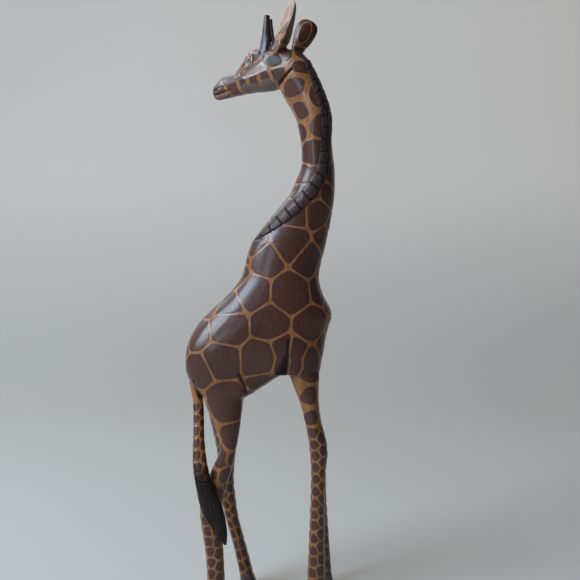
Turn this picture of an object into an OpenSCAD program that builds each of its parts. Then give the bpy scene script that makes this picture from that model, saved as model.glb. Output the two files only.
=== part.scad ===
// Carved giraffe statue: a slim standing giraffe with its head turned back over
// its shoulder, put together from carved wooden pieces with glued round dowels.
// Units are millimetres. +Z is up and the body faces +X, so +Y is the left side.

/* [Body] */
// Width of the barrel across the ribs
barrel_w = 66; // [58:1:72]
// Width of the joint between trunk and neck
neck_root_w = 46; // [40:1:50]

/* [Neck and mane] */
// Thickness of the neck in the middle, from side to side
neck_w = 33; // [29:1:37]
// Width of the mane where it is widest
mane_w = 19; // [15:1:21]
// How far the mane stands up from the neck
mane_h = 2.2; // [1.2:0.1:3]

/* [Head] */
// Direction that the nose points in, counted from the body's own direction
head_turn = 150; // [140:1:160]
// Width of the skull at the cheeks
skull_w = 32; // [28:1:36]
// Width of the muzzle
muzzle_w = 17; // [14:1:20]
// Diameter of a horn at its flat top
horn_top_d = 6; // [5:0.5:7]

/* [Legs] */
// Distance between the outer faces of the left and right legs
stance_w = 58; // [54:1:62]
// Thickness of a lower leg, from side to side
shank_w = 17; // [14:1:19]
// Height of a hoof
hoof_h = 14; // [10:1:18]

/* [Joinery] */
// Diameter of the dowel in the neck's root
neck_dowel_d = 12; // [10:1:14]
// Diameter of the dowels in the head and the legs
dowel_d = 8; // [6:1:9]
// Length of the dowels in the head and the legs
dowel_l = 28; // [20:1:32]
// Diameter of the small pegs and tenons
peg_d = 4; // [3:0.5:5]
// Glue room round each dowel and peg
glue_gap = 0.1; // [0.05:0.05:0.2]

/* [Detail] */
// Sides of a section through the trunk or the neck
body_sides = 36; // [28:4:44]
// Sides of a section through a leg
leg_sides = 20; // [16:4:24]
// Rings that are worked out between one station and the next
fineness = 2; // [1:1:3]

/* [Hidden] */
$fn = 48;

patch_brown = [0.36, 0.20, 0.15];
mane_black = [0.15, 0.10, 0.09];
horn_grey = [0.30, 0.26, 0.26];
ear_tan = [0.62, 0.42, 0.30];
dowel_beech = [0.80, 0.62, 0.42];

// Heights of the three flat glue joints under the neck and over the legs
neck_joint_z = 371;
front_joint_z = 236;
hind_joint_z = 210;

// Middle of the statue's outline on the ground, which is the stored origin
ground_mid = [0.3, 8.8];

// ---- Stations of the trunk: height, rear x, front x, half width, squareness ----
half_w = barrel_w / 2;
belly_stations = [
    [hind_joint_z, -58.5, -16.5, 29.2, 2.8],
    [214, -62, -8, 29.6, 2.8],
    [219, -67, -0.5, 29.8, 2.9],
    [225, -71.3, 8.5, 29.8, 3.1],
    [231, -74.6, 17.5, 29.8, 3.3],
    [front_joint_z, -76, 26.5, 29.8, 3.6]];
barrel_stations = [
    [front_joint_z, -76.4, 60.9, 30.4, 4.2],
    [247, -77, 63, half_w - 1, 3.7],
    [260, -76, 65.5, half_w, 3.2],
    [272, -72, 67.5, half_w, 2.8],
    [284, -65, 70.5, half_w - 0.5, 2.5],
    [293, -57, 73.5, half_w - 1.5, 2.4],
    [302, -48, 71.5, half_w - 3, 2.4],
    [311, -38, 66.5, half_w - 4, 2.3],
    [322, -27.5, 62, half_w - 5.5, 2.3],
    [334, -19, 60, half_w - 7, 2.2],
    [347, -15.5, 62, half_w - 8.5, 2.2],
    [359, -12.5, 65, neck_root_w / 2 + 0.7, 2.1],
    [neck_joint_z, -7.5, 68, neck_root_w / 2, 2.1]];

// ---- The head, in its own upright plane: u runs to the nose and w runs up ----
head_at = [34.2, 3.8, 538];
head_tilt = 40;
nose_way = [cos(head_turn), sin(head_turn), 0];
left_way = [-sin(head_turn), cos(head_turn), 0];
up = [0, 0, 1];
nape_turn = head_turn - 180;

// ---- Stations of the neck ----
// centre x, y, z; half size along and across its long way; azimuth of the long way;
// tilt towards the nose; azimuth of the mane; share of the mane's width and height
neck_r = neck_w / 2;
head_joint_long = neck_r + 4.5;
head_joint_wide = neck_r - 1.5;
neck_stations = [
    [30.3, 0, neck_joint_z, 37.8, neck_root_w / 2, 0, 0, -168, 0.12, 0.15],
    [36.4, 0, 383, 34.7, neck_root_w / 2 - 1, 0, 0, -151, 0.70, 0.75],
    [42.5, 0, 396, 30.5, 21, 0, 0, -136, 1.00, 1.00],
    [48.6, 0, 408, 26.4, 20, 0, 0, -120, 1.00, 1.00],
    [53.6, 0, 420, 22.4, 19, 0, 0, -102, 0.95, 1.00],
    [56.2, 0, 432, 19.8, 18, 0, 0, -86, 0.80, 0.95],
    [58.5, 0, 444, 17.2, 17.2, -4, 0, -72, 0.70, 0.80],
    [58.2, 0, 456, neck_r - 0.4, neck_r + 0.1, -10, 0, -62, 0.67, 0.65],
    [57.1, 0, 468, neck_r - 0.8, neck_r - 0.4, -16, 0, -52, 0.70, 0.60],
    [56.1, 0, 480, neck_r + 0.2, neck_r - 0.8, -22, 2, -44, 0.77, 0.60],
    [54.6, 0.3, 492, neck_r + 1.8, neck_r - 1.0, -28, 5, -40, 0.84, 0.60],
    [51.0, 0.9, 504, neck_r + 3.0, neck_r - 1.2, nape_turn, 10, -40, 0.86, 0.60],
    [46.6, 1.6, 514, neck_r + 3.5, neck_r - 1.4, nape_turn, 19, -41, 0.86, 0.60],
    [41.4, 2.5, 524, neck_r + 4.1, neck_r - 1.5, nape_turn, 29, nape_turn - 5, 0.76, 0.60],
    [head_at[0], head_at[1], head_at[2], head_joint_long, head_joint_wide,
     nape_turn, head_tilt, nape_turn, 0.62, 0.50]];
mane_steps = 4;
mane_lift = [0.75, 1.15, 1.3, 1.15, 0.75];

// ---- Stations of the head ----
// u and w of the under side, u and w of the top, half width, squareness
cheek = skull_w / 2;
muzzle = muzzle_w / 2;
head_stations = [
    [head_joint_long * cos(head_tilt), -head_joint_long * sin(head_tilt),
     -head_joint_long * cos(head_tilt), head_joint_long * sin(head_tilt), head_joint_wide, 2],
    [20, -14.3, -10, 20.5, cheek - 0.6, 2.1],
    [27, -15.8, 2, 25.5, cheek, 2.2],
    [35, -16.2, 16, 28, cheek, 2.3],
    [44, -16.2, 33, 28.5, cheek - 0.6, 2.4],
    [53, -16.8, 49, 26.5, cheek - 1.6, 2.5],
    [61, -17.8, 56.5, 17.5, cheek - 4.6, 2.5],
    [70, -19, 66.5, 8.2, muzzle + 1.6, 2.4],
    [78, -20.2, 77, 4.4, muzzle + 0.4, 2.3],
    [85.5, -21.2, 85.3, 2.2, muzzle + 0.3, 2.4],
    [91.5, -21.8, 92.7, -4.6, muzzle - 0.8, 2.5],
    [94.2, -20.6, 96, -10.5, muzzle - 3, 2.4]];
head_sides = 28;

// ---- Horns: middle of the foot (u, side, w), height, and outline as radius and height ----
left_horn_foot = [29.4, 3.6, 20];
right_horn_foot = [31, 3.6, 20];
left_horn_h = 41;
right_horn_h = 38;
function horn_outline(h) =
    [[0, -2], [10, -2], [9.6, 0.08 * h], [8.2, 0.18 * h], [6.8, 0.31 * h], [5.3, 0.51 * h], [4.2, 0.73 * h],
     [horn_top_d / 2 + 0.3, 0.9 * h], [horn_top_d / 2, h], [0, h]];

// ---- Ears: foot and tip (u, side, w), and how far the hollow side turns outwards ----
left_ear_foot = [18, 11.5, 23];
left_ear_tip = [-10.5, 19, 69];
left_ear_turn = 50;
right_ear_foot = [5, 12, 22];
right_ear_tip = [-6.5, 23.5, 56];
right_ear_turn = 60;
ear_sides = 16;
// share of the length, half width, depth of the round back, depth of the hollow
left_ear_stations = [
    [0, 7.2, 10, 0], [0.18, 8.6, 12.4, 0.8], [0.36, 9.8, 12.4, 2], [0.54, 10.4, 10.2, 2.8],
    [0.70, 10.6, 8, 2.8], [0.84, 9.6, 6, 2], [0.94, 7, 4, 1], [1, 2.2, 1.6, 0]];
right_ear_stations = [
    [0, 6.2, 6, 0], [0.18, 7.6, 6.8, 0.8], [0.36, 9.6, 7, 2], [0.54, 11.2, 7, 2.8],
    [0.70, 11.8, 6.6, 2.8], [0.84, 11, 5.6, 2], [0.94, 8.6, 4, 1], [1, 4, 2.2, 0]];

// ---- Stations of the legs: height, rear x, front x, inner y, outer y, squareness ----
outer = stance_w / 2;
inner = outer - shank_w;
left_front_stations = [
    [front_joint_z, 27.5, 60.4, 4, 27.2, 2.1],
    [231, 30.5, 60.3, 5, 27.4, 2.2],
    [219, 35, 60.5, 6.5, outer - 1, 2.3],
    [203, 41.5, 60.5, 9, outer - 0.5, 2.2],
    [182, 46.5, 63, inner - 1.2, outer, 2.2],
    [162, 50, 67, inner - 0.8, outer + 0.5, 2.2],
    [145, 51.5, 69, inner - 0.6, outer + 0.6, 2.2],
    [125, 52.8, 68.6, inner + 0.2, outer, 2.2],
    [90, 53.5, 69.5, inner + 0.6, outer - 0.6, 2.1],
    [40, 56.5, 73, inner + 0.3, outer - 0.3, 2.1]];
right_front_stations = [
    [front_joint_z, 27.5, 60.4, 4, 27.2, 2.1],
    [231, 30.5, 60.3, 5, 27.4, 2.2],
    [219, 35, 60, 6.5, outer - 1, 2.3],
    [205, 40.5, 60, 9, outer - 0.5, 2.2],
    [188, 45, 62, inner - 1.2, outer, 2.2],
    [170, 48.7, 67, inner - 0.8, outer + 0.5, 2.2],
    [153, 50.6, 69, inner - 0.6, outer + 0.6, 2.2],
    [136, 51.7, 67, inner + 0.2, outer, 2.2],
    [100, 51, 66.3, inner + 0.6, outer - 0.6, 2.1],
    [45, 49, 66.3, inner + 0.3, outer - 0.3, 2.1]];
left_hind_stations = [
    [hind_joint_z, -58, -17.3, 3.5, 28.8, 2.6],
    [196, -56.5, -22, 5, outer + 0.2, 2.5],
    [178, -53.5, -24.5, 7.5, outer + 0.2, 2.4],
    [158, -49, -26, 10, outer, 2.3],
    [138, -46.5, -28, inner - 0.6, outer, 2.2],
    [116, -46.5, -29.3, inner - 0.2, outer, 2.2],
    [96, -43.5, -27.5, inner, outer, 2.2],
    [72, -38, -24, inner + 0.6, outer - 0.6, 2.1],
    [40, -29.5, -15.5, inner + 0.4, outer - 0.4, 2.1]];
right_hind_stations = [
    [hind_joint_z, -58, -17.3, 3.5, 28.8, 2.6],
    [196, -52.5, -18.5, 5, outer + 0.2, 2.5],
    [178, -45.5, -21, 7.5, outer + 0.2, 2.4],
    [158, -41, -24.5, 10, outer, 2.3],
    [142, -48, -28, inner - 0.6, outer, 2.2],
    [126, -55, -32.5, inner - 0.6, outer, 2.2],
    [106, -61.5, -37.5, inner - 0.2, outer, 2.2],
    [86, -62, -40, inner, outer, 2.2],
    [60, -58.2, -38.6, inner + 0.4, outer - 0.4, 2.1],
    [38, -56, -37.6, inner + 0.4, outer - 0.4, 2.1]];
// rear x and front x of each hoof, at its top and on the ground
left_front_hoof = [57.8, 75, 57, 77.5];
right_front_hoof = [47.8, 67, 46.2, 69.2];
left_hind_hoof = [-24, -9, -22.5, -4];
right_hind_hoof = [-55, -36.5, -56, -33.6];
hoof_flare = 1.2;

// ---- Tail: centre x, y, z, and half sizes along x and y ----
tail_stations = [
    [-65.5, -0.5, 232, 8, 8], [-67.2, -2, 221, 6.4, 7], [-64.6, -6, 208, 5.7, 6],
    [-63.4, -12, 190, 5.7, 5.4], [-62.8, -20, 168, 6.1, 5.2], [-61.2, -28, 146, 7.7, 4.8],
    [-57.6, -33, 128, 8.7, 4.4]];
tuft_stations = [
    [-57.2, -33.2, 128, 9, 4.8], [-53.6, -34, 117, 10.4, 5.4], [-50.3, -34.2, 106, 11.4, 5.6],
    [-46.6, -34.2, 94, 11, 5.4], [-42.8, -33.6, 83, 8.8, 4.8], [-39.3, -32.8, 73, 6, 3.8],
    [-35.6, -31.8, 62, 1.4, 1.4]];
tail_sides = 14;

// ---- Where the dowels and pegs go ----
neck_dowel_at = [33, 0, neck_joint_z];
neck_dowel_l = 44;
front_dowel_x = 46.5;
hind_dowel_x = -36.5;
leg_dowel_y = 16.5;
tail_peg_at = [-66.5, -1.5, 222];
tail_peg_l = 20;
tail_peg_lean = 22;
tuft_peg_at = [-50.5, -29, 98];
tuft_peg_l = 16;
tenon_l = 9;

// ---- Smooth curves through stations ----
function through(a, b, c, d, t) =
    0.5 * (2 * b + (c - a) * t + (2 * a - 5 * b + 4 * c - d) * t * t + (3 * b - a - 3 * c + d) * t * t * t);
function at(list, u) =
    let (last = len(list) - 1, i = min(floor(u), last - 1))
    through(list[max(i - 1, 0)], list[i], list[i + 1], list[min(i + 2, last)], u - i);
function refined(list, steps) = [for (i = [0 : steps * (len(list) - 1)]) at(list, i / steps)];

// ---- Sections ----
function bulge(v, squareness) = sign(v) * pow(abs(v), 2 / squareness);
function oval(cx, cy, a, b, squareness, sides) =
    [for (k = [0 : sides - 1]) let (t = 360 * (k + 0.5) / sides)
        [cx + a * bulge(cos(t), squareness), cy + b * bulge(sin(t), squareness)]];
function polar(a, b, t) = 1 / sqrt(pow(cos(t) / a, 2) + pow(sin(t) / b, 2));

function trunk_ring(s) =
    [for (p = oval((s[1] + s[2]) / 2, 0, (s[2] - s[1]) / 2, s[3], s[4], body_sides)) [p[0], p[1], s[0]]];
function leg_ring(s) =
    [for (p = oval((s[1] + s[2]) / 2, (s[3] + s[4]) / 2, (s[2] - s[1]) / 2, (s[4] - s[3]) / 2, s[5], leg_sides))
        [p[0], p[1], s[0]]];
function tail_ring(s) = [for (p = oval(s[0], s[1], s[3], s[4], 2.1, tail_sides)) [p[0], p[1], s[2]]];

// A neck section starts at one edge of the mane, so that the mane's foot always
// lies on the same sides of it while the mane winds round the neck.
function neck_angle(s, k) =
    let (half = mane_w / 2 * s[8] / polar(s[3], s[4], s[7] - s[5]) * 180 / PI)
    k <= mane_steps
        ? s[7] - half + 2 * half * k / mane_steps
        : s[7] + half + (360 - 2 * half) * (k - mane_steps) / (body_sides - mane_steps);
function neck_point(s, angle, lift = 0) =
    let (r = polar(s[3], s[4], angle - s[5]) + lift, flat = [r * cos(angle), r * sin(angle), 0])
    [s[0], s[1], s[2]]
        + (flat * nose_way) * (cos(s[6]) * nose_way - sin(s[6]) * up)
        + (flat * left_way) * left_way;
function neck_ring(s) = [for (k = [0 : body_sides - 1]) neck_point(s, neck_angle(s, k))];
// The mane's section stands up in front, and follows the neck's own sides behind.
function mane_ring(s) =
    concat(
        [for (k = [0 : mane_steps]) neck_point(s, neck_angle(s, k), mane_h * s[9] * mane_lift[k])],
        [for (k = [mane_steps : -1 : 0]) neck_point(s, neck_angle(s, k))]);

function head_point(u, side, w) = head_at + u * nose_way + side * left_way + w * up;
function head_ring(s) =
    let (mid_u = (s[0] + s[2]) / 2, mid_w = (s[1] + s[3]) / 2,
         half_u = (s[2] - s[0]) / 2, half_w = (s[3] - s[1]) / 2)
    [for (p = oval(0, 0, 1, s[4], s[5], head_sides))
        head_point(mid_u + p[0] * half_u, p[1], mid_w + p[0] * half_w)];

// An ear is a leaf with a round back and a hollow front. Its long way runs from
// foot to tip, and its hollow side looks forwards and out.
function unit(v) = v / norm(v);
function ear_ring(s, foot, tip, turn) =
    let (long = tip - foot, mid = foot + s[0] * long,
         front = [cos(turn), sin(turn), 0],
         across = unit(cross(long, front)), out = unit(cross(across, long)))
    [for (k = [0 : ear_sides - 1]) let (t = 360 * (k + 0.5) / ear_sides, high = sin(t))
        mid + s[1] * cos(t) * across + (high > 0 ? -s[2] * high : -s[3] * high * high + 0.8 * abs(high)) * out];

// ---- Solids ----
function total(list, i = 0) = i < len(list) - 1 ? list[i] + total(list, i + 1) : list[i];
function facing(ring) = let (n = len(ring))
    total([for (k = [0 : n - 1]) cross(ring[k] - ring[0], ring[(k + 1) % n] - ring[0])]);
function reversed(list) = [for (i = [len(list) - 1 : -1 : 0]) list[i]];

// Skins a list of rings, each with the same even number of points, and closes both ends.
// lean picks the diagonal that cuts each four-sided patch in two.
module loft(stack, lean = false) {
    n = len(stack[0]);
    last = len(stack) - 1;
    heading = total(stack[last]) - total(stack[0]);
    rings = facing(stack[0]) * heading > 0 ? stack : reversed(stack);
    patches = [for (i = [0 : last - 1]) for (k = [0 : n - 1]) let (m = (k + 1) % n)
        [i * n + k, (i + 1) * n + k, (i + 1) * n + m, i * n + m]];
    ends = [for (k = [0 : n / 2 - 2]) each [
        [k, k + 1, n - 2 - k, n - 1 - k],
        [last * n + n - 1 - k, last * n + n - 2 - k, last * n + k + 1, last * n + k]]];
    halves = [for (q = patches) each lean
        ? [[q[0], q[1], q[3]], [q[1], q[2], q[3]]]
        : [[q[0], q[1], q[2]], [q[0], q[2], q[3]]]];
    flats = [for (q = ends) each [[q[0], q[1], q[2]], [q[0], q[2], q[3]]]];
    polyhedron(points = [for (r = rings) each r], faces = concat(halves, flats), convexity = 6);
}
module place() translate([-ground_mid[0], -ground_mid[1], 0]) children();

module dowel(d, l) cylinder(d = d, h = l, center = true);
module dowel_hole(d, l) cylinder(d = d + 2 * glue_gap, h = l + 1, center = true);

module at_neck_joint() translate(neck_dowel_at) children();
module at_head_joint() translate(head_at) rotate([0, 0, head_turn]) rotate([0, head_tilt, 0]) children();
module at_front_joint() translate([front_dowel_x, leg_dowel_y, front_joint_z]) children();
module at_hind_joint() translate([hind_dowel_x, leg_dowel_y, hind_joint_z]) children();
module at_tail_joint() translate(tail_peg_at) rotate([0, tail_peg_lean, 0]) children();
module at_tuft_joint() translate(tuft_peg_at) rotate([90, 0, 0]) children();
module in_head() translate(head_at) rotate([0, 0, head_turn]) children();
module on_side(right) {
    if (right) mirror([0, 1, 0]) children();
    else children();
}
module both_sides() {
    on_side(false) children();
    on_side(true) children();
}

// ---- Plain shapes, before any hole is bored ----
module trunk_shape() loft(concat(
    [for (s = refined(belly_stations, fineness)) trunk_ring(s)],
    [for (s = refined(barrel_stations, fineness)) trunk_ring(s)]));
module neck_shape() loft([for (s = refined(neck_stations, fineness)) neck_ring(s)]);
module head_shape() loft([for (s = refined(head_stations, fineness)) head_ring(s)]);
module leg_shape(stations, hoof) {
    last = stations[len(stations) - 1];
    hoof_top = [hoof_h, hoof[0], hoof[1], last[3], last[4], 2.2];
    sole = [0, hoof[2], hoof[3], last[3] - hoof_flare, last[4] + hoof_flare, 2.4];
    loft([for (s = concat(refined(concat(stations, [hoof_top]), fineness), [sole])) leg_ring(s)]);
}
module tenon(gap) translate([0, 0, -tenon_l]) cylinder(d = peg_d + 2 * gap, h = 2 * tenon_l);

// ---- Trunk, neck and mane ----
module trunk() color(patch_brown) place() difference() {
    trunk_shape();
    at_neck_joint() dowel_hole(neck_dowel_d, neck_dowel_l);
    both_sides() at_front_joint() dowel_hole(dowel_d, dowel_l);
    both_sides() at_hind_joint() dowel_hole(dowel_d, dowel_l);
    at_tail_joint() dowel_hole(peg_d, tail_peg_l);
}
module neck() color(patch_brown) place() difference() {
    neck_shape();
    at_neck_joint() dowel_hole(neck_dowel_d, neck_dowel_l);
    at_head_joint() dowel_hole(dowel_d, dowel_l);
}
module mane() color(mane_black) place()
    loft([for (s = refined(neck_stations, fineness)) mane_ring(s)], lean = true);

// ---- Head, ears and horns ----
module head() color(patch_brown) place() difference() {
    head_shape();
    at_head_joint() dowel_hole(dowel_d, dowel_l);
    in_head() translate(left_horn_foot) tenon(glue_gap);
    in_head() on_side(true) translate(right_horn_foot) tenon(glue_gap);
    in_head() translate(left_ear_foot) tenon(glue_gap);
    in_head() on_side(true) translate(right_ear_foot) tenon(glue_gap);
}
module horn_shape(foot, h) translate(foot) rotate_extrude() polygon(horn_outline(h));
// An ear's foot is cut to fit over the skull and round the horn beside it.
module ear(stations, foot, tip, turn, right) color(ear_tan) place() {
    difference() {
        in_head() on_side(right) loft([for (s = refined(stations, fineness)) ear_ring(s, foot, tip, turn)]);
        head_shape();
        if (!right) in_head() horn_shape(left_horn_foot, left_horn_h);
    }
    in_head() on_side(right) translate(foot) tenon(0);
}
module left_ear() ear(left_ear_stations, left_ear_foot, left_ear_tip, left_ear_turn, false);
module right_ear() ear(right_ear_stations, right_ear_foot, right_ear_tip, right_ear_turn, true);
// The two horns meet at the middle plane of the head, where their feet are cut flat.
module horn(foot, h, right) color(horn_grey) place() {
    difference() {
        in_head() on_side(right) horn_shape(foot, h);
        in_head() on_side(right) translate([0, -40, 0]) cube([80, 40, 80]);
        head_shape();
    }
    in_head() on_side(right) translate(foot) tenon(0);
}

// ---- Legs ----
module front_leg(stations, hoof, right) color(patch_brown) place() on_side(right) difference() {
    leg_shape(stations, hoof);
    at_front_joint() dowel_hole(dowel_d, dowel_l);
}
module hind_leg(stations, hoof, right) color(patch_brown) place() difference() {
    on_side(right) leg_shape(stations, hoof);
    on_side(right) at_hind_joint() dowel_hole(dowel_d, dowel_l);
    if (right) at_tuft_joint() dowel_hole(peg_d, tuft_peg_l);
}

// ---- Tail ----
module tail() color(patch_brown) place() difference() {
    loft([for (s = refined(tail_stations, fineness)) tail_ring(s)]);
    trunk_shape();
    at_tail_joint() dowel_hole(peg_d, tail_peg_l);
}
module tail_tuft() color(mane_black) place() difference() {
    loft([for (s = refined(tuft_stations, fineness)) tail_ring(s)]);
    on_side(true) leg_shape(right_hind_stations, right_hind_hoof);
    at_tuft_joint() dowel_hole(peg_d, tuft_peg_l);
}

// ---- Dowels and pegs ----
module neck_dowel() color(dowel_beech) place() at_neck_joint() dowel(neck_dowel_d, neck_dowel_l);
module head_dowel() color(dowel_beech) place() at_head_joint() dowel(dowel_d, dowel_l);
module front_dowel(right) color(dowel_beech) place() on_side(right) at_front_joint() dowel(dowel_d, dowel_l);
module hind_dowel(right) color(dowel_beech) place() on_side(right) at_hind_joint() dowel(dowel_d, dowel_l);
module tail_peg() color(dowel_beech) place() at_tail_joint() dowel(peg_d, tail_peg_l);
module tuft_peg() color(dowel_beech) place() at_tuft_joint() dowel(peg_d, tuft_peg_l);

trunk();
neck();
head();
mane();
left_ear();
right_ear();
horn(left_horn_foot, left_horn_h, false);  // left_horn
horn(right_horn_foot, right_horn_h, true);  // right_horn
tail();
tail_tuft();
front_leg(left_front_stations, left_front_hoof, false);  // left_front_leg
front_leg(right_front_stations, right_front_hoof, true);  // right_front_leg
hind_leg(left_hind_stations, left_hind_hoof, false);  // left_hind_leg
hind_leg(right_hind_stations, right_hind_hoof, true);  // right_hind_leg
neck_dowel();
head_dowel();
front_dowel(false);  // left_front_dowel
front_dowel(true);  // right_front_dowel
hind_dowel(false);  // left_hind_dowel
hind_dowel(true);  // right_hind_dowel
tail_peg();
tuft_peg();
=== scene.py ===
"""Looks of the carved giraffe statue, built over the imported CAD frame.

The outer pieces are fused into one skin, smoothed and carved, and then cut up again
into one closed piece for each CAD node. Numbers are millimetres in the statue's own
frame: x along the body, y to its left, z up. The skin's pattern is a map of rounded
cells round seed points, kept as the distance to the nearest cell edge.
"""

import bpy
import math
import numpy as np
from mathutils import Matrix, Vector
from mathutils.bvhtree import BVHTree


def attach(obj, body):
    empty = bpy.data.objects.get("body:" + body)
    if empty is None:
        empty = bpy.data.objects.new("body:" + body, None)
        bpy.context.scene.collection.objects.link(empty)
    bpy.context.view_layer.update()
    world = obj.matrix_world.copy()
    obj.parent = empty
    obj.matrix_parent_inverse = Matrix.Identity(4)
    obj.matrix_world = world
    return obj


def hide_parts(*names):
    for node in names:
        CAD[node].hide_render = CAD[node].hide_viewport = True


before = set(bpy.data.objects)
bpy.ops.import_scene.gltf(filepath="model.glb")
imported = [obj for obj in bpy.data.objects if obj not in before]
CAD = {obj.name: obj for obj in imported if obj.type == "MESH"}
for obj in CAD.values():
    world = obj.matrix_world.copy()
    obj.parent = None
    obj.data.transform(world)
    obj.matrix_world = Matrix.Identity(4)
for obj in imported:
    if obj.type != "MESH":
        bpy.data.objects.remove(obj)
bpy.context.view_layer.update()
rng = np.random.default_rng(7)

SHIFT = np.array([0.3, 8.8, 0.0])  # stored millimetres + SHIFT = the statue's own millimetres
SKIN = ["trunk", "neck", "head", "left_ear", "right_ear", "left_horn", "right_horn", "tail",
        "left_front_leg", "right_front_leg", "left_hind_leg", "right_hind_leg"]
PEGS = ["neck_dowel", "head_dowel", "left_front_dowel", "right_front_dowel",
        "left_hind_dowel", "right_hind_dowel", "tail_peg", "tuft_peg"]
FINE = ["head", "left_ear", "right_ear", "left_horn", "right_horn"]


# ---------------------------------------------------------------- mesh arrays
def cad_arrays(names):
    verts, tris, start = [], [], 0
    for n in names:
        me = CAD[n].data
        me.calc_loop_triangles()
        co = np.empty(len(me.vertices) * 3, np.float32)
        me.vertices.foreach_get("co", co)
        t = np.empty(len(me.loop_triangles) * 3, np.int32)
        me.loop_triangles.foreach_get("vertices", t)
        verts.append(co.reshape(-1, 3) * 1000.0 + SHIFT)
        tris.append(t.reshape(-1, 3) + start)
        start += len(me.vertices)
    return np.concatenate(verts), np.concatenate(tris)


def build_mesh(name, verts, quads, tris=None, smooth=True):
    """A mesh from quads and triangles, in whatever unit verts has."""
    tris = np.zeros((0, 3), int) if tris is None else tris
    me = bpy.data.meshes.new(name)
    me.vertices.add(len(verts))
    me.vertices.foreach_set("co", np.asarray(verts, np.float32).ravel())
    loops = np.concatenate([quads.ravel(), tris.ravel()]).astype(np.int32)
    totals = np.concatenate([np.full(len(quads), 4), np.full(len(tris), 3)])
    me.loops.add(len(loops))
    me.loops.foreach_set("vertex_index", loops)
    me.polygons.add(len(totals))
    me.polygons.foreach_set("loop_start", (np.cumsum(totals) - totals).astype(np.int32))
    me.polygons.foreach_set("use_smooth", np.full(len(totals), smooth))
    me.update(calc_edges=True)
    me.validate()
    return me


def voxel(names, size):
    """Fuses the named CAD pieces into one closed skin of small quads."""
    verts, tris = cad_arrays(names)
    me = build_mesh("raw", verts, np.zeros((0, 4), int), tris)
    ob = bpy.data.objects.new("raw", me)
    bpy.context.scene.collection.objects.link(ob)
    m = ob.modifiers.new("fuse", "REMESH")
    m.mode, m.voxel_size, m.adaptivity = "VOXEL", size, 0.0
    out = bpy.data.meshes.new_from_object(ob.evaluated_get(bpy.context.evaluated_depsgraph_get()))
    bpy.data.objects.remove(ob)
    co = np.empty(len(out.vertices) * 3, np.float32)
    out.vertices.foreach_get("co", co)
    loops = np.empty(len(out.loops), np.int32)
    out.loops.foreach_get("vertex_index", loops)
    co, quads = co.reshape(-1, 3).astype(float), loops.reshape(-1, 4)
    bpy.data.meshes.remove(out)
    a, b, _ = edges_of(quads)
    shell = groups(len(co), a, b)
    keep = shell == np.bincount(shell).argmax()
    return compact(co, quads[keep[quads[:, 0]]])


def compact(co, faces):
    used = np.zeros(len(co), bool)
    used[faces.ravel()] = True
    new = np.cumsum(used) - 1
    return co[used], new[faces]


def edges_of(quads):
    """Each edge once: its two ends, and the two faces beside it (-1 for none)."""
    n = quads.shape[1]
    a = quads.ravel()
    b = np.roll(quads, -1, axis=1).ravel()
    face = np.repeat(np.arange(len(quads)), n)
    lo, hi = np.minimum(a, b).astype(np.int64), np.maximum(a, b).astype(np.int64)
    key = lo * (hi.max() + 1) + hi
    order = np.argsort(key, kind="stable")
    k = key[order]
    first = np.r_[True, k[1:] != k[:-1]]
    at = np.flatnonzero(first)
    other = np.full(len(at), -1)
    two = np.r_[np.diff(at), len(k) - at[-1]] >= 2
    other[two] = face[order[at[two] + 1]]
    return lo[order[at]], hi[order[at]], np.stack([face[order[at]], other], 1)


def groups(n, a, b):
    """The lowest index that each of n things is joined to through the pairs a, b."""
    label = np.arange(n)
    while True:
        low = np.minimum(label[a], label[b])
        new = label.copy()
        np.minimum.at(new, label[a], low)
        np.minimum.at(new, label[b], low)
        new = new[new]
        new = new[new]
        if (new == label).all():
            return label
        label = new


def mean_round(x, a, b, count):
    out = np.empty_like(x)
    for i in range(x.shape[1]):
        out[:, i] = np.bincount(a, x[b, i], len(x)) + np.bincount(b, x[a, i], len(x))
    return out / count[:, None]


def smooth(x, a, b, steps, weight=1.0):
    count = np.maximum(np.bincount(a, minlength=len(x)) + np.bincount(b, minlength=len(x)), 1)
    w = 0.5 * np.asarray(weight) * np.ones(len(x))
    for _ in range(steps):
        x = x + w[:, None] * (mean_round(x, a, b, count) - x)
    return x


def fair(x, a, b, steps, weight=1.0):
    """Smooths away facets, and then puts back the body that plain smoothing takes off."""
    y = smooth(x, a, b, steps, weight)
    return y + smooth(x - y, a, b, steps, weight)


def normals_of(co, quads):
    d = np.cross(co[quads[:, 2]] - co[quads[:, 0]], co[quads[:, 3]] - co[quads[:, 1]])
    n = np.stack([np.bincount(quads.ravel(), np.repeat(d[:, i], 4), len(co)) for i in range(3)], 1)
    return n / np.maximum(np.linalg.norm(n, axis=1), 1e-12)[:, None]


# ---------------------------------------------------------------- fields on the skin
def step(lo, hi, x):
    t = np.clip((x - lo) / (hi - lo), 0, 1)
    return t * t * (3 - 2 * t)


def off_line(p, line):
    """Distance from 2-D points to a line of 2-D points."""
    best = np.full(len(p), 1e9)
    for s, e in zip(line[:-1], line[1:]):
        s, e = np.array(s, float), np.array(e, float)
        t = np.clip(((p - s) @ (e - s)) / ((e - s) @ (e - s)), 0, 1)
        best = np.minimum(best, np.linalg.norm(p - s - t[:, None] * (e - s), axis=1))
    return best


def inside(p, ring):
    """Signed distance to a 2-D outline, positive inside."""
    odd = np.zeros(len(p), bool)
    for s, e in zip(ring, ring[1:] + ring[:1]):
        if s[1] != e[1]:
            cross = s[0] + (p[:, 1] - s[1]) * (e[0] - s[0]) / (e[1] - s[1])
            odd ^= ((s[1] > p[:, 1]) != (e[1] > p[:, 1])) & (p[:, 0] < cross)
    d = off_line(p, ring + ring[:1])
    return np.where(odd, d, -d)


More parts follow.
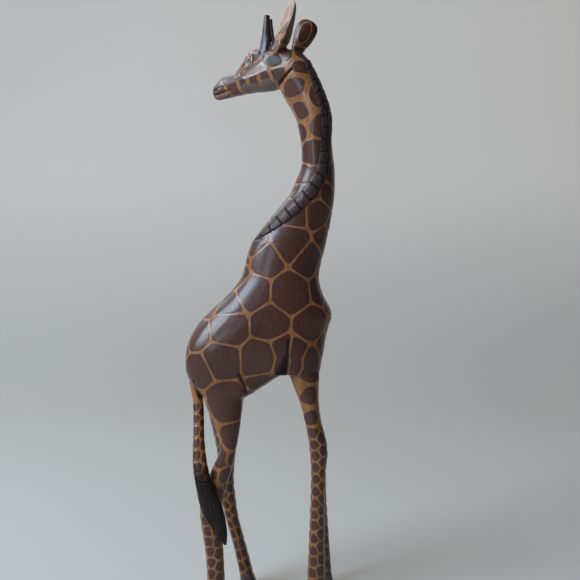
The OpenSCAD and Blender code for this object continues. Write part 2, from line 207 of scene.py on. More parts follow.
def cells(p, seeds, size, patch, sharpness):
    """For each point, the nearest seed, and the distance to the edge of its rounded patch.
    A seed of some size pushes its cell's edges out; seeds of one patch share one cell;
    a large sharpness leaves the patch its corners."""
    nearest, edge = np.empty(len(p), int), np.empty(len(p))
    gap = np.linalg.norm(seeds[:, None] - seeds[None], axis=2).astype(np.float32)
    gap[np.arange(len(seeds)), np.arange(len(seeds))] = 1.0
    for i in range(0, len(p), 20000):
        q = p[i:i + 20000]
        d = (((q[:, None] - seeds[None]) ** 2).sum(2) - size[None] ** 2).astype(np.float32)
        k = d.argmin(1)
        r = sharpness[k][:, None].astype(np.float32)
        b = (d - d[np.arange(len(q)), k][:, None]) / (2 * gap[k])
        b[patch[k][:, None] == patch[None]] = 60.0
        edge[i:i + 20000] = -np.log(np.exp(-r * np.minimum(b, 40 / r)).sum(1)) / r[:, 0]
        nearest[i:i + 20000] = k
    return nearest, edge


# heights that part the regions of the skin
TRUNK_TOP, HEAD_FOOT, HOOF_TOP = 420, 500, 14

TURN = math.radians(150)
HEAD_AT = np.array([34.2, 3.8, 538.0])
NOSE = np.array([math.cos(TURN), math.sin(TURN), 0.0])
LEFT = np.array([-math.sin(TURN), math.cos(TURN), 0.0])
UP = np.array([0.0, 0.0, 1.0])


def to_head(p):
    """Points in the head's own frame: along the nose, to its left, up."""
    d = p - HEAD_AT
    return np.stack([d @ NOSE, d @ LEFT, d[:, 2]], 1)


def from_head(u, side, w):
    return HEAD_AT + u * NOSE + side * LEFT + w * UP


# ---------------------------------------------------------------- the skin
SIZE = 0.75
co, quads = voxel(SKIN, SIZE)
a, b, beside = edges_of(quads)

# the CAD node that each point lies on
near_node = np.zeros(len(co), int)
near_dist = np.full(len(co), 1e9)
for i, n in enumerate(SKIN):
    verts, tris = cad_arrays([n])
    tree = BVHTree.FromPolygons(verts.tolist(), tris.tolist())
    box = np.flatnonzero(((co > verts.min(0) - 3) & (co < verts.max(0) + 3)).all(1))
    for k in box:
        hit = tree.find_nearest(co[k])
        if hit[3] < near_dist[k]:
            near_dist[k], near_node[k] = hit[3], i
is_node = {n: near_node == i for i, n in enumerate(SKIN)}

softness = np.ones(len(co))
up_head = to_head(co)[:, 2]
for n, s in (("head", 0.75), ("left_ear", 0.3), ("right_ear", 0.3),
             ("left_horn", 0.12), ("right_horn", 0.12)):
    at_foot = 0.6 * step(33, 26, up_head[is_node[n]])
    softness[is_node[n]] = s + (at_foot if n != "head" else 0)
softness = smooth(softness[:, None], a, b, 10)[:, 0]
co = fair(co, a, b, 34, softness)
normal = normals_of(co, quads)
skin_tree = BVHTree.FromPolygons(co.tolist(), quads.tolist())


def on_skin(x, y_from, z):
    """The point of the skin that a level ray from the side meets, or the nearest one."""
    hit = skin_tree.ray_cast(Vector((x, y_from, z)), Vector((0, -1 if y_from > 0 else 1, 0)))
    if hit[0] is None:
        hit = skin_tree.find_nearest(Vector((x, 0.15 * y_from, z)))
    return np.array(hit[0])


# ---------------------------------------------------------------- the pattern's seeds
BARE = 20.0  # draws a patch in until nothing of it is left

# x and z of the patches on the near side, then what pushes the patch's edges out and what
# draws them in; a long patch has several points
RIGHT_PATCHES = [
    # neck, from the nape down
    (36.5, 544.5, 2, 0.6), [(33.5, 528, 3, 0.9), (35.5, 520, 3, 0.9)],
    [(39.5, 506, 2, 1.0), (41.5, 498, 2, 1.0)], (55, 515, 2, 0.5), (57.5, 486, 4, 0.4), (41, 482),
    (53, 460, 6), (39, 440), (46, 420), (71, 415), (60, 399, 6), (34, 398),
    # shoulder and trunk
    (30, 370, 10), (-5, 368), (6, 353, 5), (50, 352, 5), (67, 374), (31, 319, 11), (61, 321), (-8, 320, 8),
    (-38, 313), (-32, 286, 9), (10, 290, 7), (52.5, 287, 8), (65, 264), (-65, 277), (-39, 251, 8),
    (1, 253, 10), [(35, 259, 3), (34.5, 246, 2)], [(51, 250, 3), (50.5, 237, 5)], (-64, 239, 6),
    (6, 229), [(24.5, 261), (24, 247)],
    # tops of the legs
    (50, 214, 9, 0.2), (-36, 207, 16), (-15, 211), [(-30, 175, 3, 0.6), (-30, 165, 3, 0.6)],
    [(-40, 155, 4, 0.3), (-42.5, 147, 4, 0.3)], (51.5, 193, 8, 0.2), (-28.5, 151, 0, 0.6),
    (-36, 133, 4, 0.3), (-48, 134, 2, 0.5),
    # bare wood beside them, where no patch is painted
    (66, 215, 0, BARE), (37.5, 222, 0, BARE), (66, 195, 0, BARE), (38, 200, 0, BARE),
]
LEFT_PATCHES = [
    (20, 552), (40, 540), (44, 520), (35, 501), (52, 494), (43, 478), (60, 470), (50, 452),
    (64, 436), (43, 430), (56, 412), (34, 404), (74, 400),
    (42, 382), (14, 366), (66, 366), (36, 350), (10, 338), (60, 334), (-12, 322), (36, 312), (66, 300),
    (8, 300), (-36, 302), (-16, 274), (-50, 276), (24, 268), (52, 268), (-68, 250), (-38, 246),
    (-6, 246), (38, 238), (60, 240), (14, 232), (-40, 204, 12), (-20, 212), (50, 212),
]
BACK_AND_BELLY = [(-46, 0, 300), (-14, 0, 332), (-76, 0, 262), (-72, 2, 228), (72, 0, 282), (64, 0, 250),
                  (-30, 0, 212), (-6, 0, 218), (12, 0, 226), (66, 0, 336), (74, 0, 386), (72, 0, 430),
                  (-2, 2, 352), (74, 0, 306)]
seeds, sizes, insets, patch_of, sharpness = [], [], [], [], []


def plant(point, size=0.0, inset=0.0, joined=False, sharp=0.62):
    patch_of.append(patch_of[-1] if joined else len(seeds))
    sharpness.append(sharp)
    seeds.append(np.array(point, float))
    sizes.append(size)
    insets.append(inset)


def sharp_at(z):
    """How much of its corners a patch keeps: least on the upper neck, little on the tops of the legs."""
    return float(np.interp(z, [160, 165, 224, 226, 479, 481], [0.9, 0.45, 0.45, 0.62, 0.62, 0.38]))


for side, patches in ((-200, RIGHT_PATCHES), (200, LEFT_PATCHES)):
    for patch in patches:
        for i, (x, z, *rest) in enumerate(patch if isinstance(patch, list) else [patch]):
            size, inset = (list(rest) + [0.0, 0.0])[:2]
            plant(on_skin(x, side, z), size, inset, i > 0, sharp_at(z))
for s in BACK_AND_BELLY:
    plant(s)
# head: cheeks and jaw, the same on both sides, then the crown
HEAD_PATCHES = [(3.5, 21, 0.1), (13, 12.5, 0.2), (11, 3, 0.2), (26, -1.5, 1.0), (39.5, -3, 1.2),
                (54, -6.5, 1.2), (66, -9.5, 1.0), (82, -21, 0.0)]
for u, w, inset in HEAD_PATCHES:
    for side in (1, -1):
        plant(from_head(u, side * 13, w), 3.0 if w > 10 else 0.0, inset, False, 1.0)
for s in [(-6, 0, 17), (40, 0, 29), (56, 0, 12)]:
    plant(from_head(*s), sharp=1.0)
# feet and backs of the ears
for s in [(13, 13, 31), (2, 14, 34), (-4, 16, 50), (-3, -14, 38)]:
    plant(from_head(*s), sharp=1.0)


def axis_of(name, z, reach=3.0):
    at = is_node[name] & (np.abs(co[:, 2] - z) < reach)
    return (co[at].min(0) + co[at].max(0)) / 2, (co[at].max(0) - co[at].min(0)) / 2


# legs and tail: columns of oval spots, each column at its own height
for name, top, foot, turn, across, pitch in (
        ("right_front_leg", 177, 5, -117, 6, 12.6), ("left_front_leg", 196, 5, -110, 6, 12.6),
        ("right_hind_leg", 120, 5, -117, 6, 12.0), ("left_hind_leg", 184, 5, -120, 6, 11.5),
        ("tail", 200, 126, -120, 4, 11.5)):
    for k in range(across):
        z = top - pitch * (0.5 * (k % 2) + rng.uniform(-0.12, 0.12))
        while z > foot:
            mid, half = axis_of(name, z)
            t = math.radians(360 / across * k + turn + rng.uniform(-6, 6))
            plant((mid[0] + half[0] * math.cos(t), mid[1] + half[1] * math.sin(t), z), rng.uniform(0, 2),
                  sharp=1.0)
            z -= pitch * rng.uniform(0.88, 1.12)
for z in (214, 206):
    plant(axis_of("tail", z)[0], 3.0, BARE)
seeds = np.array(seeds)
tones = rng.uniform(0, 1, len(seeds))

limb = sum(is_node[n] for n in SKIN if "leg" in n or n == "tail") * step(215, 185, co[:, 2])
cell, edge = cells(co, seeds, np.array(sizes), np.array(patch_of), np.array(sharpness))
half_line = 1.1 + 0.15 * step(400, 500, co[:, 2]) - 0.3 * limb
edge = edge - half_line - np.array(insets)[cell]
tone = tones[cell]
hp = to_head(co)


# ---------------------------------------------------------------- carving
def carve(co, normal, edge, tone):
    """How far each point moves along its normal, how dark it is painted (ink in the cuts, painted shade in
    the folds and at the temple), the plain areas, and their tone.
    """
    h = to_head(co)
    xz = co[:, [0, 2]]
    move = -0.24 * (1 - step(-0.5, 0.35, edge))
    dark = np.zeros(len(co))
    facing = step(0.05, 0.4, -normal[:, 1])

    # a groove along a line, painted dark: ink in the carved lines, painted shade in the folds
    def cut(distance, width, depth, mask=1.0, ink_and_shade=0.8):
        nonlocal move, dark
        shape = np.exp(-(distance / width) ** 2) * mask
        move = move - depth * shape
        dark = np.maximum(dark, ink_and_shade * shape)

    body = (co[:, 2] < TRUNK_TOP).astype(float)
    for flip in (1, -1):
        side = step(0.0, 0.3, -normal[:, 1] * flip) * body
        # fold behind the elbow, deep at the belly, painted dark along it as painted shade
        d = off_line(xz, [(28.8, 273), (28.2, 254), (25.5, 236)])
        cut(d, 1.4 + 2.2 * step(262, 238, co[:, 2]), 0.5 + 1.8 * step(262, 240, co[:, 2]), side, 0.95)
        # painted shade in the armpit: this hollow is only painted dark, not carved
        hollow = inside(xz, [(28.5, 263), (29.5, 234), (12, 234), (19, 247)])
        dark = np.maximum(dark, 0.85 * step(-2.5, 2.5, hollow) * side)
        # fold in the groin, painted dark along it as painted shade
        cut(off_line(xz, [(-20.5, 236), (-15.5, 226), (-13.5, 214)]), 2.2, 1.6, side, 0.95)
        cut(off_line(xz, [(-15, 222), (-17, 205), (-19.5, 192)]), 1.2, 0.4, side, 0.7)
    # hollow between the tail's root and the rump, painted dark as painted shade, on the right side only
    cut(off_line(xz, [(-68, 228), (-65.5, 219), (-61, 210)]), 2.0, 1.5, facing * body, 0.95)

    side = np.abs(h[:, 1])
    uw = h[:, [0, 2]]
    lateral = np.abs((normal @ LEFT))
    high = (co[:, 2] > HEAD_FOOT).astype(float) * step(3, 6, side) * step(0.15, 0.4, lateral)
    # cleft between jaw and neck
    cut(off_line(uw, [(-5, 3.6), (2, -3), (9.2, -9.6)]), 1.3, 1.9, high)
    # upper edge of the cheek, mouth, nostril and eye
    ridge = off_line(uw, [(28, 17.5), (42, 9), (55, 0.5), (62, -1)])
    move = move + 0.8 * np.exp(-(ridge / 1.5) ** 2) * high
    cheek = inside(uw, [(28, 17), (42, 8.5), (55, 0), (52, -3.5), (38, -0.5), (23, 4.5), (22, 10)])
    move = move - 0.7 * step(0, 2.5, cheek) * high
    top = (co[:, 2] > HEAD_FOOT).astype(float)
    # eye: a dark socket, a raised pale lid across it, and the brow
    socket = np.hypot((uw[:, 0] - 40.5) / 8, (uw[:, 1] - 17 + 0.4 * (uw[:, 0] - 40.5)) / 4.6)
    cut(socket ** 2, 0.9, 1.1, high, 0.9)
    cut(off_line(uw, [(29, 18.5), (43, 10.6), (56, 2)]), 0.7, 0.4, high, 0.7)
    lid = np.hypot((uw[:, 0] - 42) / 1.4, (uw[:, 1] - 17) / 4.8)
    move = move + 1.2 * np.exp(-lid ** 4) * high
    brow = np.hypot((uw[:, 0] - 41.5) / 6, (uw[:, 1] - 23.5) / 2.6)
    move = move + 0.9 * np.exp(-brow ** 2) * top
    dark = dark * (1 - np.exp(-lid ** 4) * high)
    # painted shade at the temple: painted nearly black over its patch and given little lacquer, so the
    # window's highlight doesn't show there
    temple = np.hypot((uw[:, 0] - 14) / 9, (uw[:, 1] - 14) / 6)
    dark = np.maximum(dark, 0.86 * step(1.3, 0.8, temple) * high)
    # mouth and nostril
    cut(off_line(uw, [(96, -17.5), (88, -17), (80, -14.6), (73, -12.2)]), 0.6, 0.9, high, 1.0)
    nostril = np.hypot((uw[:, 0] - 85) / 4.4, (uw[:, 1] + 11 + 0.3 * (uw[:, 0] - 85)) / 1.5)
    cut(np.abs(nostril - 1), 0.35, 0.6, top * step(1.5, 3, side), 0.9)
    # knife lines under the jaw
    below = step(0.25, 0.55, -normal[:, 2]) * top * step(10, 14, h[:, 0]) * step(58, 48, h[:, 0])
    stroke = np.abs(((h[:, 0] + 0.25 * h[:, 1]) / 2.3) % 1 - 0.5) * 2.3
    cut(stroke, 0.4, 0.28, below, 0.5)
    muzzle = inside(uw, [(55, 0), (60, 8), (75, 8), (92, 4), (97, -8), (90, -10), (78, -8), (66, -5.5),
                         (54, -3)])
    muzzle = step(-0.4, 0.6, muzzle) * top
    cheek = step(-0.4, 0.6, cheek) * high
    tan = np.maximum(0.8 * np.exp(-lid ** 4) * high, 0.7 * np.exp(-brow ** 4) * top)
    tan = np.maximum(tan, 0.7 * step(1.05, 0.8, nostril) * top * step(1.5, 3, side))
    lip = step(1.9, 1.2, off_line(uw, [(96, -19.5), (87, -19), (76, -16)])) * high
    tan = np.maximum(tan, 0.55 * lip)
    hoof = step(HOOF_TOP, HOOF_TOP - 3, co[:, 2])
    plain = np.maximum.reduce([0.85 * cheek, 0.8 * muzzle, 0.85 * below, hoof]) * (1 - tan)
    tone = np.where(cheek > 0.5, 0.75, tone)
    tone = np.where((muzzle > 0.5) & (cheek <= 0.5), 0.3, tone)
    tone = np.where(below > 0.5, 0.35, tone)
    tone = np.where(hoof > 0.5, 0.1, tone)
    return move, dark, plain, tone, tan


pale = np.zeros(len(co))
for n, way, rim in (("left_ear", 42, 0.0), ("right_ear", -60, 0.45)):
    out = math.cos(math.radians(way)) * NOSE + math.sin(math.radians(way)) * LEFT
    face = smooth((normal @ out)[:, None], a, b, 4)[:, 0]
    pale = np.maximum(pale, step(0.2, 0.45, face) * is_node[n] * step(28, 36, hp[:, 2]))
    edge = np.where(is_node[n] & (hp[:, 2] > 34), np.minimum(edge, (-face - rim) * 7), edge)
# the hollow of the left ear ends at a slanting rim, and its back is nearly black
past_rim = co[:, 0] - np.interp(co[:, 2], [570, 583, 592, 607], [11, 22, 29.5, 36])
pale = np.where(is_node["left_ear"], pale * step(0.5, -0.5, past_rim), pale)
ear_back = np.where(is_node["left_ear"] & (hp[:, 2] > 40), step(-0.2, 1.2, past_rim), 0.0)
edge = np.where(ear_back > 0, np.maximum(edge, 3 * ear_back), edge)
# an oval line on the back of the right ear
oval = np.hypot((co[:, 0] - 44.5 - 0.3 * (co[:, 2] - 581)) / 6.6, (co[:, 2] - 581) / 11.5)
edge = np.where(is_node["right_ear"], np.minimum(edge, np.abs(oval - 1) * 8 - 1.0), edge)
move, dark, plain, tone, tan = carve(co, normal, edge, tone)
pale = np.maximum(pale, tan)
dark = np.maximum(dark, 0.6 * ear_back)
skin_normal = normals_of(co + move[:, None] * normal, quads)

# ---------------------------------------------------------------- cutting the skin up
votes = near_node[quads]
label = votes[:, 0].copy()
for k in (1, 2, 3):
    agree = (votes == votes[:, [k]]).sum(1)
    label = np.where(agree > (votes == label[:, None]).sum(1), votes[:, k], label)
both = beside[(beside >= 0).all(1)]
for _ in range(3):
    same = label[both[:, 0]] == label[both[:, 1]]
    part = groups(len(label), both[same, 0], both[same, 1])
    size = np.bincount(part, minlength=len(label))[part]
    largest = np.zeros(len(SKIN), int)
    np.maximum.at(largest, label, size)
    stray = size < largest[label]
    if not stray.any():
        break
    for i, j in ((0, 1), (1, 0)):
        e = both[stray[both[:, i]] & ~stray[both[:, j]]]
        label[e[:, i]] = label[e[:, j]]


def refine(co, quads, *fields):
    """Cuts each quad in four, with every field carried to the new points."""
    a, b, _ = edges_of(quads)
    n, m = len(co), len(a)
    lo = np.minimum(quads, np.roll(quads, -1, 1)).astype(np.int64)
    hi = np.maximum(quads, np.roll(quads, -1, 1)).astype(np.int64)
    big = int(quads.max()) + 1
    at = np.searchsorted(a * big + b, lo * big + hi)
    mid = n + at
    centre = n + m + np.arange(len(quads))
    out = [np.concatenate([f, (f[a] + f[b]) / 2, f[quads].mean(1)]) for f in (co,) + fields]
    new = np.concatenate([np.stack([quads[:, k], mid[:, k], centre, mid[:, k - 1]], 1) for k in range(4)])
    return out[0], new, out[1:]


def rim_of(quads):
    """The edges that have a face on one side only, in the direction of that face."""
    s, e = quads.ravel().astype(np.int64), np.roll(quads, -1, 1).ravel().astype(np.int64)
    big = int(quads.max()) + 1
    single = ~np.isin(s * big + e, e * big + s)
    return s[single], e[single]


def cap(co, s, e):
    """Closes each open rim with a fan to its own middle."""
    follow = {}
    for x, y in zip(s.tolist(), e.tolist()):
        follow.setdefault(x, []).append(y)
    tris, centres = [], []
    while follow:
        start = next(iter(follow))
        loop, x = [start], start
        while True:
            nxt = follow[x].pop()
            if not follow[x]:
                del follow[x]
            if nxt == start:
                break
            loop.append(nxt)
            x = nxt
        c = len(co) + len(centres)
        centres.append(co[loop].mean(0))
        tris += [(y, x, c) for x, y in zip(loop, loop[1:] + loop[:1])]
    return np.array(centres).reshape(-1, 3), np.array(tris).reshape(-1, 3)


def piece(name, co, quads, normal, fields, material, slot, node=None):
    s, e = rim_of(quads)
    centres, tris = cap(co, s, e)
    co = np.concatenate([co, centres])
    me = build_mesh(name, (co - SHIFT) / 1000.0, quads, tris)
    for key, value in fields.items():
        att = me.attributes.new(key, "FLOAT", "POINT")
        att.data.foreach_set("value", np.r_[value, np.zeros(len(centres))].astype(np.float32))
    normal = np.concatenate([normal, np.tile([0.0, 0.0, 1.0], (len(centres), 1))])
    me.normals_split_custom_set_from_vertices(normal.tolist())
    me.materials.append(material)
    ob = bpy.data.objects.new(name, me)
    bpy.context.scene.collection.objects.link(ob)
    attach(ob, "root")
    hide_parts(node or name)
    return ob


# ---------------------------------------------------------------- materials
class Tree:
    """A small helper to write a material's nodes as a chain of calls."""

    def __init__(self, name):
        self.mat = bpy.data.materials.new(name)
        self.mat.use_nodes = True
        self.nt = self.mat.node_tree
        self.bsdf = self.nt.nodes["Principled BSDF"]
        tc = self.nt.nodes.new("ShaderNodeTexCoord")
        self.place = tc.outputs["Object"]

    def put(self, value, socket):
        if isinstance(value, (int, float)):
            socket.default_value = value
        elif isinstance(value, tuple):
            opaque = len(value) == 3 and len(socket.default_value) == 4
            socket.default_value = value + (1.0,) if opaque else value
        else:
            self.nt.links.new(value, socket)

    def field(self, name):
        n = self.nt.nodes.new("ShaderNodeAttribute")
        n.attribute_name = name
        return n.outputs["Fac"]

    def stretched(self, scale):
        n = self.nt.nodes.new("ShaderNodeMapping")
        self.nt.links.new(self.place, n.inputs["Vector"])
        n.inputs["Scale"].default_value = scale
        return n.outputs["Vector"]

    def noise(self, scale, detail=3.0, where=None, rough=0.55):
        n = self.nt.nodes.new("ShaderNodeTexNoise")
        self.nt.links.new(self.place if where is None else where, n.inputs["Vector"])
        n.inputs["Scale"].default_value = scale
        n.inputs["Detail"].default_value = detail
        n.inputs["Roughness"].default_value = rough
        return n.outputs["Fac"]

    def math(self, op, x, y=0.0, z=0.0):
        n = self.nt.nodes.new("ShaderNodeMath")
        n.operation = op
        for v, s in zip((x, y, z), n.inputs):
            self.put(v, s)
        return n.outputs[0]

    def ramp(self, x, lo, hi, to_lo=0.0, to_hi=1.0):
        n = self.nt.nodes.new("ShaderNodeMapRange")
        n.interpolation_type = "SMOOTHSTEP"
        for v, s in zip((x, lo, hi, to_lo, to_hi), n.inputs):
            self.put(v, s)
        return n.outputs[0]

    def mix(self, f, x, y, mode="MIX"):
        n = self.nt.nodes.new("ShaderNodeMix")
        n.data_type, n.blend_type = "RGBA", mode
        self.put(f, n.inputs[0])
        self.put(x, n.inputs[6])
        self.put(y, n.inputs[7])
        return n.outputs[2]

    def bump(self, height, distance, strength=1.0):
        n = self.nt.nodes.new("ShaderNodeBump")
        n.inputs["Distance"].default_value = distance
        n.inputs["Strength"].default_value = strength
        self.nt.links.new(height, n.inputs["Height"])
        self.nt.links.new(n.outputs[0], self.bsdf.inputs["Normal"])

    def finish(self, colour, rough, coat=0.35, coat_rough=0.22):
        self.put(colour, self.bsdf.inputs["Base Color"])
        self.put(rough, self.bsdf.inputs["Roughness"])
        self.bsdf.inputs["Specular IOR Level"].default_value = 0.16
        self.bsdf.inputs["Coat IOR"].default_value = 1.4
        if coat > 0:
            # no lacquer where the skin is painted dark: in the cuts, and in the painted shade of the folds
            # and the temple
            bare = self.math("SUBTRACT", 1.0, self.field("dark"))
            self.put(self.math("MULTIPLY", bare, coat), self.bsdf.inputs["Coat Weight"])
        self.bsdf.inputs["Coat Roughness"].default_value = coat_rough
        return self.mat


def painted(name):
    t = Tree(name)
    grain = t.noise(1.0, 4.0, t.stretched((700, 700, 60)))
    blotch = t.noise(55, 3.0)
    speck = t.noise(520, 2.0)
    edge = t.math("ADD", t.field("edge"), t.math("MULTIPLY", t.math("SUBTRACT", speck, 0.5), 1.1))
    patch = t.mix(t.ramp(grain, 0.3, 0.75), (0.050, 0.016, 0.010), (0.080, 0.027, 0.016))
    patch = t.mix(t.ramp(t.field("edge"), 0.1, 3.2, 0.5, 0.0), patch, (0.034, 0.010, 0.007))
    patch = t.mix(t.math("MULTIPLY", t.field("tone"), 0.3), patch, (0.105, 0.036, 0.022))
    patch = t.mix(t.ramp(blotch, 0.45, 0.75, 0, 0.5), patch, (0.035, 0.012, 0.009))
    patch = t.mix(t.ramp(speck, 0.5, 0.75, 0, 0.35), patch, (0.13, 0.055, 0.036))
    line = t.mix(t.ramp(grain, 0.3, 0.7), (0.20, 0.072, 0.020), (0.34, 0.140, 0.046))
    line = t.mix(t.ramp(blotch, 0.4, 0.7, 0, 0.5), line, (0.17, 0.058, 0.018))
    colour = t.mix(t.ramp(edge, -0.35, 0.25), line, patch)
    grey = t.mix(t.field("tone"), (0.040, 0.026, 0.022), (0.42, 0.31, 0.25))
    grey = t.mix(t.ramp(grain, 0.35, 0.7, 0, 0.35), grey, (0.10, 0.07, 0.06))
    colour = t.mix(t.field("plain"), colour, grey)
    tan = t.mix(t.ramp(grain, 0.3, 0.7), (0.30, 0.15, 0.09), (0.46, 0.27, 0.18))
    colour = t.mix(t.field("pale"), colour, tan)
    colour = t.mix(t.field("dark"), colour, (0.010, 0.005, 0.004))
    t.bump(t.math("ADD", t.math("MULTIPLY", grain, 0.5), t.math("MULTIPLY", speck, 0.5)), 0.0002, 0.6)
    return t.finish(colour, t.ramp(blotch, 0.3, 0.7, 0.42, 0.56), 1.0, 0.26)


def stained(name, low, high, rough, coat, streak=(900, 900, 45)):
    t = Tree(name)
    grain = t.noise(1.0, 4.0, t.stretched(streak))
    speck = t.noise(300, 2.0)
    colour = t.mix(t.ramp(grain, 0.35, 0.7), low, high)
    colour = t.mix(t.field("dark"), colour, (0.006, 0.004, 0.004))
    t.bump(t.math("ADD", t.math("MULTIPLY", grain, 0.7), t.math("MULTIPLY", speck, 0.3)), 0.00025, 0.7)
    return t.finish(colour, rough, coat, 0.25)


patterned = painted("patterned_wood")
ear_wood = painted("ear_wood")
blackened = stained("blackened_wood", (0.026, 0.013, 0.012), (0.095, 0.048, 0.042), 0.44, 0.25)
tuft_wood = stained("tuft_wood", (0.008, 0.005, 0.004), (0.030, 0.016, 0.012), 0.42, 0.3)
horn_wood = stained("horn_wood", (0.014, 0.010, 0.010), (0.050, 0.036, 0.036), 0.34, 0.6)
dowel_wood = stained("dowel_wood", (0.46, 0.30, 0.16), (0.62, 0.44, 0.26), 0.6, 0.0)

SLOTS = {n: (patterned, "patterned_wood") for n in SKIN}
SLOTS.update(left_ear=(ear_wood, "ear_wood"), right_ear=(ear_wood, "ear_wood"),
             left_horn=(horn_wood, "horn_wood"), right_horn=(horn_wood, "horn_wood"))

for i, n in enumerate(SKIN):
    faces = quads[label == i]
    used = np.unique(faces)
    new = np.full(len(co), -1)
    new[used] = np.arange(len(used))
    q = new[faces]
    c, nm, ed, to, pa, sn = co[used], normal[used], edge[used], tone[used], pale[used], skin_normal[used]
    if n in FINE:
        c, q, (nm, ed, to, pa, sn) = refine(c, q, nm, ed, to, pa, sn)
        s, e = rim_of(q)
        held = np.zeros(len(c), bool)
        held[s] = held[e] = True
        ea, eb, _ = edges_of(q)
        c = smooth(c, ea, eb, 3, (~held).astype(float))
        nm = normals_of(c, q)
        nm[held] = sn[held]
        mv, dk, pl, to, ta = carve(c, nm, ed, to)
        pa = np.maximum(np.where(n == "head", 0, pa), ta)
        c = c + mv[:, None] * nm
        nm = normals_of(c, q)
        nm[held] = sn[held]
    else:
        mv, dk, pl = move[used], dark[used], plain[used]
        c = c + mv[:, None] * nm
        nm = sn
    nm = nm / np.linalg.norm(nm, axis=1)[:, None]
    if n == "tail":
        dk = np.maximum(dk, 0.85 * step(150, 134, c[:, 2]))
    if "horn" in n:
        dk = 0.5 * dk
    piece(n + "_wood", c, q, nm, {"edge": ed, "tone": to, "pale": pa, "dark": dk, "plain": pl},
          *SLOTS[n], node=n)


# ---------------------------------------------------------------- mane and tuft
def along(co, count=60):
    """How far each point is along the middle line of a long upright piece, and its offset from it."""
    z = co[:, 2]
    cuts = np.linspace(z.min(), z.max(), count + 1)
    which = np.clip(np.searchsorted(cuts, z) - 1, 0, count - 1)
    n = np.maximum(np.bincount(which, minlength=count), 1)
    mid = np.stack([np.bincount(which, co[:, k], count) / n for k in range(3)], 1)
    length = np.r_[0, np.cumsum(np.linalg.norm(np.diff(mid, axis=0), axis=1))]
    s, off, best = np.zeros(len(co)), np.zeros_like(co), np.full(len(co), 1e9)
    for i in range(count - 1):
        e = mid[i + 1] - mid[i]
        t = np.clip((co - mid[i]) @ e / (e @ e), 0, 1)
        d = co - mid[i] - t[:, None] * e
        r = np.linalg.norm(d, axis=1)
        near = r < best
        s[near] = length[i] + t[near] * math.sqrt(e @ e)
        off[near], best[near] = d[near], r[near]
    return s, off


def crisp(name, size, steps, carver, material, slot):
    c, q = voxel([name], size)
    ea, eb, _ = edges_of(q)
    c = fair(c, ea, eb, steps)
    nm = normals_of(c, q)
    mv, dk = carver(c, nm)
    c = c + mv[:, None] * nm
    piece(name + "_wood", c, q, normals_of(c, q), {"dark": dk}, material, slot, node=name)


def mane_cuts(c, nm):
    s, off = along(c)
    across = off[:, 0]
    phase = ((s - 0.55 * across * step(430, 480, c[:, 2])) / 12.4) % 1
    d = np.abs(phase - 0.5) * 12.4
    shape = np.exp(-(d / (0.4 + 0.5 * step(-8, 5, across))) ** 2)
    seam = np.array([skin_tree.find_nearest(x)[3] for x in c.tolist()])
    seam = step(1.5, 0.5, seam) * step(520, 440, c[:, 2])
    return -0.9 * shape, np.maximum(0.95 * shape, 0.9 * seam)


def tuft_cuts(c, nm):
    s, off = along(c, 30)
    t = np.arctan2(off[:, 1], off[:, 0])
    wave = np.abs(((t / (2 * np.pi)) * 15 + 0.25 * np.sin(s / 9)) % 1 - 0.5) * 2
    shape = np.exp(-((1 - wave) / 0.3) ** 2)
    return -0.45 * shape, 0.6 * shape


crisp("mane", 0.5, 4, mane_cuts, blackened, "blackened_wood")
crisp("tail_tuft", 0.5, 6, tuft_cuts, tuft_wood, "blackened_wood")

for n in PEGS:
    CAD[n].data.materials.clear()
    CAD[n].data.materials.append(dowel_wood)


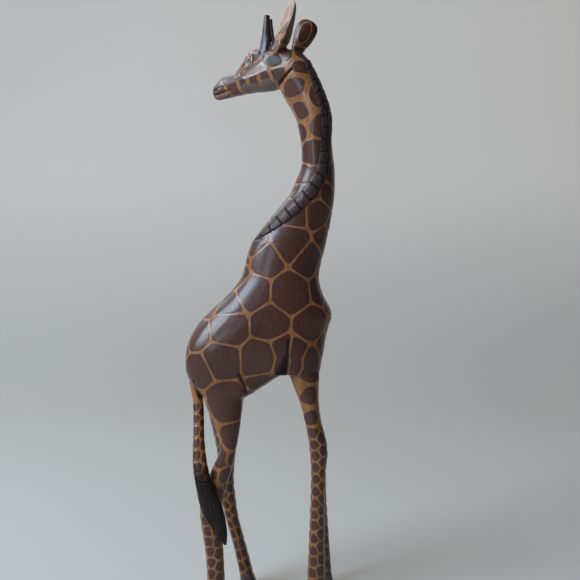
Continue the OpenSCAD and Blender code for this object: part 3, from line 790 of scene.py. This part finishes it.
# ---------------------------------------------------------------- studio
def sweep():
    """Floor that curves up into a backdrop, glowing faintly as painted light, more towards the top."""
    rows = [(-3.0, 0.0), (0.9, 0.0)]
    rows += [(0.9 + 0.8 * math.sin(t), 0.8 - 0.8 * math.cos(t)) for t in np.linspace(0.1, math.pi / 2, 12)]
    rows += [(1.7, 4.0)]
    verts = [(x, y, z) for y, z in rows for x in (-4.0, 4.0)]
    faces = [(2 * i, 2 * i + 1, 2 * i + 3, 2 * i + 2) for i in range(len(rows) - 1)]
    me = bpy.data.meshes.new("sweep")
    me.from_pydata(verts, [], faces)
    me.polygons.foreach_set("use_smooth", [True] * len(faces))
    t = Tree("sweep")
    part = t.nt.nodes.new("ShaderNodeSeparateXYZ")
    t.nt.links.new(t.place, part.inputs[0])
    t.put((0.34, 0.325, 0.30), t.bsdf.inputs["Base Color"])
    # painted light: the sweep glows, brighter higher up, in place of light falling on it
    t.put((1.0, 0.96, 0.90), t.bsdf.inputs["Emission Color"])
    t.put(t.ramp(part.outputs[2], 0.0, 0.5, 0.14, 0.28), t.bsdf.inputs["Emission Strength"])
    t.put(0.9, t.bsdf.inputs["Roughness"])
    me.materials.append(t.mat)
    ob = bpy.data.objects.new("sweep", me)
    bpy.context.scene.collection.objects.link(ob)


def window(name, at, towards, size, power, colour):
    l = bpy.data.lights.new(name, "AREA")
    l.shape, l.size, l.size_y, l.energy, l.color = "RECTANGLE", size[0], size[1], power, colour
    ob = bpy.data.objects.new(name, l)
    ob.location = at
    ob.rotation_euler = (Vector(towards) - Vector(at)).to_track_quat("-Z", "Y").to_euler()
    ob.visible_camera = False
    bpy.context.scene.collection.objects.link(ob)


sweep()
window("window_front", (-1.27, -0.68, 1.43), (0, 0, 0.33), (1.1, 1.2), 56, (0.66, 0.82, 1.0))
window("window_low", (-0.93, -1.75, 0.63), (0, 0, 0.35), (0.4, 0.35), 3.4, (0.70, 0.84, 1.0))
window("window_back", (-0.85, 0.75, 1.35), (0, 0, 0.35), (0.9, 0.9), 6, (0.82, 0.91, 1.0))
world = bpy.data.worlds.new("world")
world.use_nodes = True
world.node_tree.nodes["Background"].inputs["Color"].default_value = (0.97, 0.98, 1.0, 1)
world.node_tree.nodes["Background"].inputs["Strength"].default_value = 0.07
bpy.context.scene.world = world
bpy.context.scene.view_settings.view_transform = "Standard"

SENSOR = 36.0
LENS_TO_SENSOR = 105 / 58
LOOK_DOWN = math.atan(2 / 21)
cam = bpy.data.cameras.new("camera")
cam.sensor_width, cam.lens, cam.clip_start = SENSOR, SENSOR * LENS_TO_SENSOR, 0.05
camera = bpy.data.objects.new("camera", cam)
camera.location = (0.0300, -1.0813, 0.422)
camera.rotation_euler = (math.pi / 2 - LOOK_DOWN, 0, 0)
bpy.context.scene.collection.objects.link(camera)
bpy.context.scene.camera = camera
